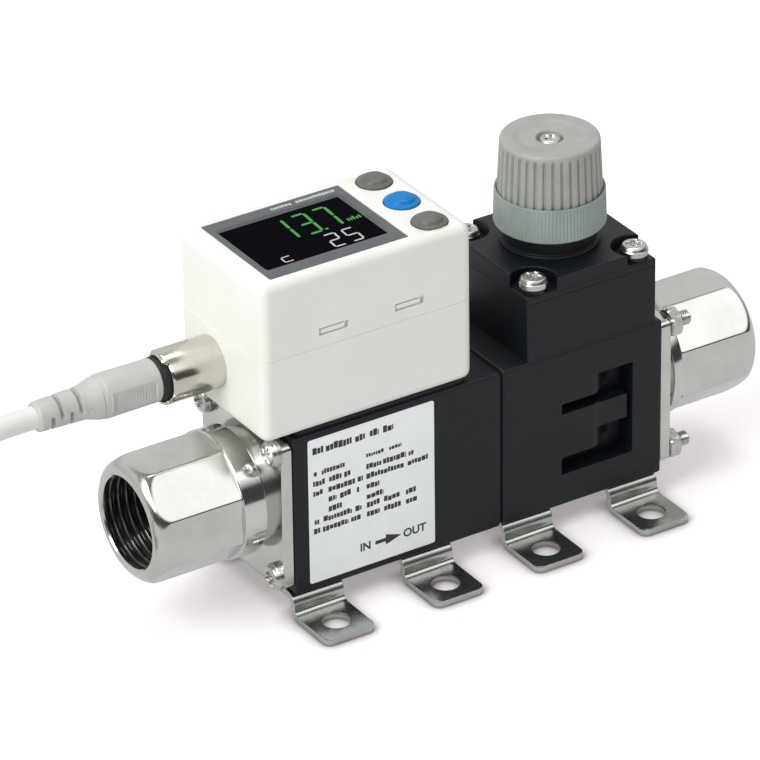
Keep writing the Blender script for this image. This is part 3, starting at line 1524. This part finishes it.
    def buttons(self) -> None:
        """Hat-shaped push buttons: a brim, a hollow shoulder and a round crown."""
        for name in ("button_down", "button_set", "button_up"):
            slot = "button_blue" if name == "button_set" else "button_grey"
            low, high = span(name)
            foot, z = low[2], high[2]
            brim, r = self.brim_r, self.button_r
            profile = bent([(foot, 0), (foot, brim), (foot + 0.6, brim), (foot + 0.6, r), (z - 1.15, r),
                            (z - 1.0, 3.25), (z - 0.9, 2.7), (z - 0.35, 2.35), (z - 0.02, 1.5), (z, 0)],
                           [0.1, 0.1, 0.1, 0.12, 0.3, 0.4, 0.5, 1.0], 6)
            shape = Surface().lathe(profile, 72, at=(*middle(name)[:2], 0))
            self.dress(shape, name, slot, name)

    def build(self) -> None:
        """Builds the head."""
        self.housing()
        self.cover()
        self.screen()
        self.title()
        self.figures()
        self.buttons()


@dataclass
class Label(SubAssembly):
    """Film label with plain bars in place of words, and the flow direction.

    Attributes:
        corner: Radius of the film's corners.
        ink: Thickness of the print.
        heading: Height above the film's lower edge, size of the bars, and start and end of each word.
        rows: The same for the smaller rows.
        arrow: Outline of the flow arrow.
        flow_words: The flow words and how far from the left end they start.
        word_up: Height of their foot above the lower edge.
        word_size: Size of the flow words.
        bold: Distance by which the flow words' outlines are thickened.
    """

    corner: float = 0.5
    ink: float = 0.012
    heading: tuple = (28.1, 1.5, (1.0, 3.6), (4.0, 9.8), (10.6, 12.8), (13.9, 15.9), (16.9, 19.2))
    rows: tuple = (
        (23.9, 0.8, (13.0, 17.2), (18.2, 21.0)), (23.4, 1.1, (1.2, 1.9), (3.0, 8.4)),
        (21.2, 1.2, (1.0, 3.8), (4.6, 7.4), (8.0, 9.4), (13.0, 16.4), (16.8, 22.0), (22.6, 24.0)),
        (19.1, 1.2, (1.0, 3.1), (4.4, 10.4), (11.0, 12.2), (13.0, 21.6), (22.4, 27.0)),
        (16.9, 1.2, (4.4, 6.2), (7.0, 9.6), (10.8, 11.3), (13.0, 15.9)), (14.7, 1.2, (4.4, 7.6), (13.0, 16.8)),
        (12.8, 1.2, (1.2, 2.2), (3.2, 9.6), (10.4, 11.8), (13.0, 15.9), (16.9, 20.7), (21.9, 24.4)),
        (10.7, 1.2, (1.0, 2.4), (3.0, 8.8), (9.4, 11.8), (13.0, 15.9), (16.9, 20.7), (21.9, 24.4)))
    arrow: tuple[tuple[float, float], ...] = (
        (14.8, 3.95), (17.2, 3.95), (17.2, 3.2), (20.8, 4.35), (17.2, 5.5), (17.2, 4.75), (14.8, 4.75))
    flow_words: tuple = (("IN", 11.3), ("OUT", 21.2))
    word_up: float = 3.5
    word_size: float = 2.45
    bold: float = 0.07

    def build(self) -> None:
        """Builds the film and its print: bars of uneven width and height fill each word."""
        low, high = span("label_plate")
        face = low[1]
        corner = np.array([low[0], low[2]])
        shape = Surface().block(round_rect(corner, (high[0], high[2]), self.corner),
                                eased(0, high[1] - low[1], 0.03, 0.03, 2), axis=Axis.FRONT, at=(0, high[1], 0))
        self.dress(shape, "label_plate", "label")
        depth = film(0, self.ink)
        dice = np.random.default_rng(7)
        ink = Surface()
        for base, size, *words in (self.heading, *self.rows):
            for start, end in words:
                for bar in letter_bars(dice, start, end, base, size):
                    ink.block(bar + corner, depth, axis=Axis.FRONT, at=(0, face, 0))
        ink.block(rounded(np.array(self.arrow) + corner, 0.08, 3), depth, axis=Axis.FRONT, at=(0, face, 0))
        ink.piece("label_print", self.palette[Ink.LABEL], "label")
        for word, x in self.flow_words:
            self.lettering("label_" + word.lower(), word, (low[0] + x, face, low[2] + self.word_up))

    def lettering(self, name: str, text: str, at: Sequence) -> None:
        """Writes a generic word on the label as a flat mesh.

        Args:
            name: Name of the piece.
            text: The word.
            at: Lower left corner of the word on the label's face.
        """
        curve = bpy.data.curves.new(name, "FONT")
        curve.body = text
        curve.size = self.word_size * MM
        curve.extrude = self.ink * MM / 2
        curve.offset = self.bold * MM
        source = bpy.data.objects.new(name + "_source", curve)
        mesh = bpy.data.meshes.new_from_object(source)
        bpy.data.objects.remove(source)
        mesh.name = name
        upright = Matrix.Rotation(math.pi / 2, 4, "X")
        upright.translation = [at[0] * MM, (at[1] - self.ink / 2) * MM, at[2] * MM]
        mesh.transform(upright)
        mesh.materials.clear()
        mesh.materials.append(self.palette[Ink.LABEL])
        made = shown(name, mesh)
        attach(made, "body")
        LOG.info("%s: lettering on body", name)


@dataclass
class Lead(SubAssembly):
    """Cable socket, moulded plug, and the lead with its hank, strap and open end."""

    axis_y: float = 3.5
    axis_z: float = 50.9
    sleeve_r: float = 5.4
    plug_r: float = 4.45
    plug_gap: float = 1.8
    tail_r: float = 2.9
    tail_slots: tuple[float, ...] = (18.6, 20.6, 22.6, 24.6)
    tail_slot_w: float = 0.8
    tail_slot_d: float = 1.1
    grip_at: tuple[float, float] = (3.0, 12.6)
    grip_in: float = 0.62
    rib_pitch: float = 0.62
    rib_h: float = 0.12
    steps_at: tuple[float, ...] = (13.0, 14.0)
    dimple_at: float = 16.6
    dimple_d: float = 0.22
    cable_d: float = 4.5
    length_m: float = 1.5
    coil_x: float = -172.0
    coil_z: float = 3.25
    coil_r: float = 13.5
    coil_turns: float = 2.25
    coil_step: float = 5.8
    layer_step: float = 5.3
    half_run: float = 37.5
    run_share: float = 0.4
    waist: float = 4.0
    tail_turn: float = 0.09
    core_l: float = 24.0
    core_r: float = 0.5
    core_gap: float = 1.1
    strap_t: float = 0.6
    strap_r: float = 2.5
    bay_d: float = 0.9
    route: tuple[tuple[float, float, float], ...] = (
        (-97, 3.5, 50.7), (-103, 4, 49.9), (-110, 5.6, 47.8), (-117, 8.6, 44.2), (-124, 12.4, 39),
        (-130, 16, 33.4), (-136, 19.3, 27.2), (-142, 21.8, 21.2), (-148, 23.4, 16), (-154, 23.8, 12.2),
        (-159, 23.3, 9.9))

    def coil(self) -> Array:
        """Centreline of the hank.

        Straight runs and half-circle folds take turns, and each run is drawn in at its middle by a squared
        cosine. The folds' radius falls steadily with the turns of the upper layer, then one run eases down to
        the lower layer, where the radius grows again.

        Returns:
            Points from the upper layer's outer run to the lower layer's last fold.
        """
        layer_turns = self.coil_turns + 0.5
        total = 2 * layer_turns - 0.5 + self.tail_turn
        turn = np.linspace(0, total, int(total * 96) + 1)
        lower = turn >= layer_turns
        part = np.where(lower, turn - layer_turns, turn)
        spiral = np.minimum(part, self.coil_turns) / self.coil_turns
        r = self.coil_r + self.coil_step * self.coil_turns * np.where(lower, spiral, 1 - spiral)
        sunk = np.where(lower, 1, (1 - np.cos(np.pi * np.clip((part - self.coil_turns) / 0.5, 0, 1))) / 2)
        phase = (turn + self.run_share / 4) % 1
        side = np.where(phase < 0.5, 1, -1)
        share = (2 * phase) % 1
        along = np.where(share < self.run_share, 1 - 2 * share / self.run_share, -1)
        fold = np.pi * np.maximum(share - self.run_share, 0) / (1 - self.run_share)
        x = self.coil_x + side * (self.half_run * along - r * np.sin(fold))
        y = side * (r * np.cos(fold) - self.waist * np.cos(np.pi / 2 * along) ** 2)
        return np.stack([x, y, self.coil_z + (1 - sunk) * self.layer_step], 1)

    def centreline(self) -> Array:
        """Whole lead: a smooth curve through the route's points, then the hank and a short straight end.

        Returns:
            Points from the plug to the open end.
        """
        start = np.array((span("cable_plug")[0][0], self.axis_y, self.axis_z))
        coil = self.coil()
        ahead = np.array((self.cable_d, 0, 0))
        free = smooth(np.array([start, start - ahead, *self.route, coil[0] + 2 * ahead, coil[0] + ahead]), 6)
        way = unit((coil[-1] - coil[-2]) * (1, 1, 0))
        return np.concatenate([free, coil, [coil[-1] + self.cable_d * way]])

    def socket(self) -> None:
        """Nickel sleeve whose mouth has two shallow bays, so that its rim stands out above and below."""
        low, _ = span("head_cover")
        at = (low[0], self.axis_y, self.axis_z)
        long = low[0] - span("socket_sleeve")[0][0]
        r = self.sleeve_r
        profile = bent([(-1, 0), (-1, r - 0.1), (0.05, r - 0.1), (0.4, r), (long - 0.5, r), (long, r - 0.45),
                        (long, r - 0.75), (long - 2.2, r - 0.8), (long - 2.2, 0)],
                       [0.1, 0.1, 0.3, 0.4, 0.15, 0.1, 0.2], 5)
        rows = turned(profile, 96)
        up = np.abs(rows[..., 1]) / np.maximum(np.hypot(rows[..., 0], rows[..., 1]), 1e-6)
        rows[..., 2] += self.bay_d * rise(rows[..., 2], long - 1.2, long - 0.4) * rise(up, 0.78, 0.9)
        self.dress(Surface().sheet(placed(rows, Axis.LEFT, at)), "socket_sleeve", "nickel")

    def plug(self) -> list[bpy.types.Object]:
        """Moulded plug: ribbed grip faces, a dimple, a taper and a slotted tail; with its black seal ring.

        Returns:
            The plug and the seal.
        """
        plug_low, _ = span("cable_plug")
        mouth = span("socket_sleeve")[0][0]
        at = (mouth, self.axis_y, self.axis_z)
        end = mouth - plug_low[0]
        r, tail = self.plug_r, self.tail_r
        gap = self.plug_gap
        line = bent([(-2.1, 0), (-2.1, 3.2), (gap - 0.1, 3.2), (gap, r - 0.1), (13.4, r), (13.6, r - 0.22),
                     (14.5, r - 0.25), (17.4, 3.35), (end - 0.4, tail + 0.1), (end, tail - 0.3), (end, 0)],
                    [0.1, 0.05, 0.3, 0.1, 0.1, 0.5, 0.8, 0.3, 0.1], 5)
        profile = dense(line, 0.16)

        def grip(turn: Array, along: Array, radius: Array) -> Array:
            """Radius cut to the ribbed faces, less two steps, the dimple and the tail's half slots.

            Args:
                turn: Turn about the plug's axis.
                along: Distance from the socket's mouth.
                radius: Radius of the profile.

            Returns:
                The new radius.
            """
            front = np.abs(np.cos(turn))
            low, high = self.grip_at
            ribs = self.rib_h * (0.5 + 0.5 * np.cos(FULL_TURN * along / self.rib_pitch))
            flat = (r - self.grip_in) / np.maximum(front, 0.2)
            flat = flat + ribs * plateau(along, low + 0.2, high - 0.2, 0.3)
            shaped = radius + (np.minimum(radius, flat) - radius) * plateau(along, low, high, 0.35)
            steps = sum(plateau(along, x, x + 0.5, 0.1) for x in self.steps_at)
            spot = ((along - self.dimple_at) / 0.45) ** 2 + (turn / 0.13) ** 2
            shaped = shaped - 0.16 * rise(front, 0.75, 0.85) * steps - self.dimple_d * np.exp(-spot)
            for i, x in enumerate(self.tail_slots):
                slot = plateau(along, x - 0.05, x + self.tail_slot_w + 0.05, 0.12)
                shaped = shaped - self.tail_slot_d * slot * rise((-1) ** i * np.sin(turn), -0.25, 0.05)
            return shaped

        body = Surface().lathe(profile, 144, Axis.LEFT, at, grip)
        made = self.dress(body, "cable_plug", "plug_grey")
        ring = rounded([(-1.1, 3.25), (-1.1, 4.4), (gap, 4.4), (gap, 3.25)], [0.1, 0.1, 0.2, 0.1], 4)
        seal = Surface().lathe(ring, 96, Axis.LEFT, at, ring=True)
        return [made, self.dress(seal, "cable_plug_seal", "rubber")]

    def cores(self, path: Array) -> list[bpy.types.Object]:
        """Four insulated cores that fan out from the open end and lie on the floor.

        Args:
            path: The lead's centreline.

        Returns:
            The cores.
        """
        start = path[-1]
        ahead = unit(path[-1] - path[-2])
        aside = np.cross(ahead, (0, 0, 1))
        drop = self.coil_z - 0.6
        t = np.linspace(0, 1, 25)[:, None]
        sink = (1 - np.cos(np.pi * np.minimum(2 * t, 1))) / 2
        made = []
        inks = {"brown": "core_colours", "white": Ink.CORE_WHITE, "black": Ink.CORE_BLACK,
                "blue": Ink.CORE_BLUE}
        for i, (name, ink) in enumerate(inks.items()):
            fan = (i - 1.5) * self.core_gap * (1 + 0.9 * t) - 3 * t * t
            line = start + self.core_l * t * ahead + fan * aside - drop * sink * np.array((0, 0, 1))
            core = Surface().sheet(tube(line, self.core_r, 12))
            made.append(core.piece("lead_core_" + name, self.palette[ink], "core_colours",
                                   replaces=["lead_cores"]))
        return made

    def strap(self) -> bpy.types.Object:
        """Hook-and-loop strap closed round the waist of the hank.

        Returns:
            The strap.
        """
        low, high = span("coil_tie")
        t, r = self.strap_t, self.strap_r
        loop = round_rect(low[1:], high[1:], r, 8)
        hole = round_rect(low[1:] + t, high[1:] - t, r - t, 8)
        layers = eased(0, high[0] - low[0], 0.15, 0.15, 3)
        shape = Surface().block(loop, layers, [hole], layers, Axis.RIGHT, (low[0], 0, 0))
        return self.dress(shape, "coil_tie", "tie_black")

    def build(self) -> None:
        self.socket()
        path = self.centreline()
        run = np.linalg.norm(np.diff(path, axis=0), axis=1).sum()
        LOG.info("lead: %.1f mm", run)
        cable = Surface().sheet(tube(path, self.cable_d / 2, 20))
        made = cable.piece("lead_cable", self.palette["cable_grey"], "cable_grey",
                           replaces=["lead_cable", "lead_coil"])
        on_it = self.plug() + self.cores(path) + [self.strap()]


def stand(data: bpy.types.Camera | bpy.types.Light, at: Sequence, axes: Sequence[Array]) -> bpy.types.Object:
    """Adds a camera or a lamp to the scene.

    Args:
        data: The camera or the lamp, which gives its name.
        at: Its place in millimetres.
        axes: Its right, up and back directions.

    Returns:
        The object.
    """
    pose = np.eye(4)
    pose[:3, :3] = np.stack(axes, 1)
    pose[:3, 3] = np.array(at, float) * MM
    made = shown(data.name, data)
    made.matrix_world = Matrix(pose.tolist())
    return made


@dataclass
class Studio:
    """Pale floor, soft light and the camera at the photograph's view."""

    focal_px: float = 6260.71
    image_px: float = 760.0
    sensor_mm: float = 36.0
    azimuth_deg: float = -32.25
    elevation_deg: float = 29.52
    roll_deg: float = -0.78
    eye: tuple[float, float, float] = (-573.55, -889.72, 632.86)
    floor_m: float = 6.0
    paper: str = "#EDEDEB"
    floor_tone: tuple[str, str] = ("#E4E5E4", "#7C7C7C")
    floor_glow: tuple[str, str] = ("#FFF4F6", "#FFFFFF")
    floor_lift: tuple[float, float] = (0.4, 0.52)
    contact: str = "#8A8080"
    contact_mm: float = 4.6
    contact_power: float = 2.0
    world_light: float = 0.5
    front_sky: tuple = ((0.0, 0.06), (0.4, 0.06), (0.56, 1.0), (0.64, 1.6), (0.8, 1.6), (0.88, 0.2), (1.0, 0.3))
    back_sky: tuple = ((0.0, 0.6), (0.3, 0.75), (0.6, 0.8), (0.85, 0.3), (1.0, 0.35))
    lamp_aim: tuple[float, float, float] = (-10, 0, 40)
    lamps: tuple = (("key_softbox", (-950, -180, 850), 800, 10.7), ("top_softbox", (150, 280, 1200), 700, 5.0))

    def camera(self) -> None:
        """Sets the camera from its place, its direction and the focal length in pixels."""
        data = bpy.data.cameras.new("camera")
        data.sensor_width = self.sensor_mm
        data.lens = self.focal_px * self.sensor_mm / self.image_px
        data.clip_start, data.clip_end = 0.05, 50
        a, e, roll = (math.radians(v) for v in (self.azimuth_deg, self.elevation_deg, self.roll_deg))
        right = np.array([math.cos(a), math.sin(a), 0])
        back = np.array([math.sin(a) * math.cos(e), -math.cos(a) * math.cos(e), math.sin(e)])
        up = np.cross(back, right)
        turned_right = math.cos(roll) * right + math.sin(roll) * up
        turned_up = math.cos(roll) * up - math.sin(roll) * right
        bpy.context.scene.camera = stand(data, self.eye, [turned_right, turned_up, back])

    def floor(self) -> None:
        """Pale matt floor that the camera and mirrors see as near white, still darkened by the shadow."""
        mesh = bpy.data.meshes.new("floor")
        half = self.floor_m / 2
        corners = [(x * half, y * half, 0) for x, y in ((-1, -1), (1, -1), (1, 1), (-1, 1))]
        mesh.from_pydata(corners, [], [(0, 1, 2, 3)])
        made = shown("floor", mesh)
        material = bpy.data.materials.new("pale_paper_floor")
        material.use_nodes = True
        tree = material.node_tree
        tree.nodes.clear()
        path = add_node(tree, "LightPath")
        mirrored = path.outputs["Is Glossy Ray"]
        seen = reckon(tree, "MAXIMUM", path.outputs["Is Camera Ray"], mirrored)
        seen = reckon(tree, "MAXIMUM", seen, path.outputs["Is Transmission Ray"])
        paper = add_node(tree, "BsdfDiffuse", {"Color": linear(self.paper)})
        tone, glow = (blend(tree, mirrored, [linear(colour) for colour in pair], "RGBA")
                      for pair in (self.floor_tone, self.floor_glow))
        shaded = add_node(tree, "BsdfDiffuse", {"Color": tone})
        lift = add_node(tree, "Emission", {"Color": glow, "Strength": blend(tree, mirrored, self.floor_lift)})
        bright = add_node(tree, "AddShader", {0: shaded.outputs[0], 1: lift.outputs[0]})
        crevice = add_node(tree, "AmbientOcclusion", {"Distance": self.contact_mm * MM}, samples=8)
        open_share = reckon(tree, "POWER", crevice.outputs["AO"], self.contact_power)
        contact = add_node(tree, "BsdfDiffuse", {"Color": linear(self.contact)})
        look = add_node(tree, "MixShader", {0: open_share, 1: contact.outputs[0], 2: bright.outputs[0]})
        mix = add_node(tree, "MixShader", {0: seen, 1: paper.outputs[0], 2: look.outputs[0]})
        add_node(tree, "OutputMaterial", {"Surface": mix.outputs[0]})
        mesh.materials.append(material)

    def world(self) -> None:
        """Soft light from all round; the camera sees white, and metal sees softboxes with dark gaps."""
        world = bpy.data.worlds.new("studio")
        world.use_nodes = True
        tree = world.node_tree
        tree.nodes.clear()
        path = add_node(tree, "LightPath")
        seen = reckon(tree, "MAXIMUM", path.outputs["Is Camera Ray"], path.outputs["Is Transmission Ray"])
        way = add_node(tree, "SeparateXYZ", {0: add_node(tree, "TexCoord").outputs["Generated"]})
        front, back = (self.sky(tree, way.outputs["Z"], stops) for stops in (self.front_sky, self.back_sky))
        behind = add_node(tree, "MapRange", {0: way.outputs["Y"], 1: -0.3, 2: 0.3, 3: 0.0, 4: 1.0})
        room = blend(tree, behind.outputs[0], (front, back))
        glossy = blend(tree, path.outputs["Is Glossy Ray"], (self.world_light, room))
        strength = blend(tree, seen, (glossy, 1.0))
        light = add_node(tree, "Background", {"Color": linear("#FFFFFF"), "Strength": strength})
        add_node(tree, "OutputWorld", {"Surface": light.outputs[0]})
        bpy.context.scene.world = world

    def sky(self, tree: bpy.types.NodeTree, height: bpy.types.NodeSocket,
            stops: Sequence) -> bpy.types.NodeSocket:
        """Brightness that changes with the height of the direction.

        Args:
            tree: Node tree of the world.
            height: Socket with the direction's third part, from 0 at the horizon to 1 straight up.
            stops: Pairs of height and brightness.

        Returns:
            Socket with the brightness.
        """
        level: bpy.types.NodeSocket | float = stops[0][1]
        for (low, start), (high, end) in zip(stops, stops[1:]):
            step = add_node(tree, "MapRange", {0: height, 1: low, 2: high, 3: 0.0, 4: end - start})
            level = reckon(tree, "ADD", level, step.outputs[0])
        return level

    def lamp(self, name: str, at: Sequence, size: float, watts: float) -> None:
        """Adds a square softbox that faces the object.

        Args:
            name: Name of the lamp.
            at: Its place in millimetres.
            size: Side in millimetres.
            watts: Power.
        """
        data = bpy.data.lights.new(name, "AREA")
        data.shape = "SQUARE"
        data.size = size * MM
        data.energy = watts
        back = unit(np.subtract(at, self.lamp_aim))
        right = unit(np.cross((0, 0, 1.0), back))
        stand(data, at, [right, np.cross(back, right), back])

    def build(self) -> None:
        """Builds the studio."""
        self.camera()
        self.floor()
        self.world()
        for lamp in self.lamps:
            self.lamp(*lamp)
        bpy.context.scene.view_settings.view_transform = "Standard"


def main() -> None:
    """Builds the studio and every sub-assembly."""
    logging.basicConfig(level=logging.INFO, format="%(name)s %(message)s")
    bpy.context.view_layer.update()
    palette = Palette()
    Studio().build()
    for assembly in (Lead, Ports, Blocks, ValveTop, Fasteners, Brackets, DisplayHead, Label):
        assembly(palette).build()
    bpy.context.view_layer.update()


if __name__ == "__main__":
    main()
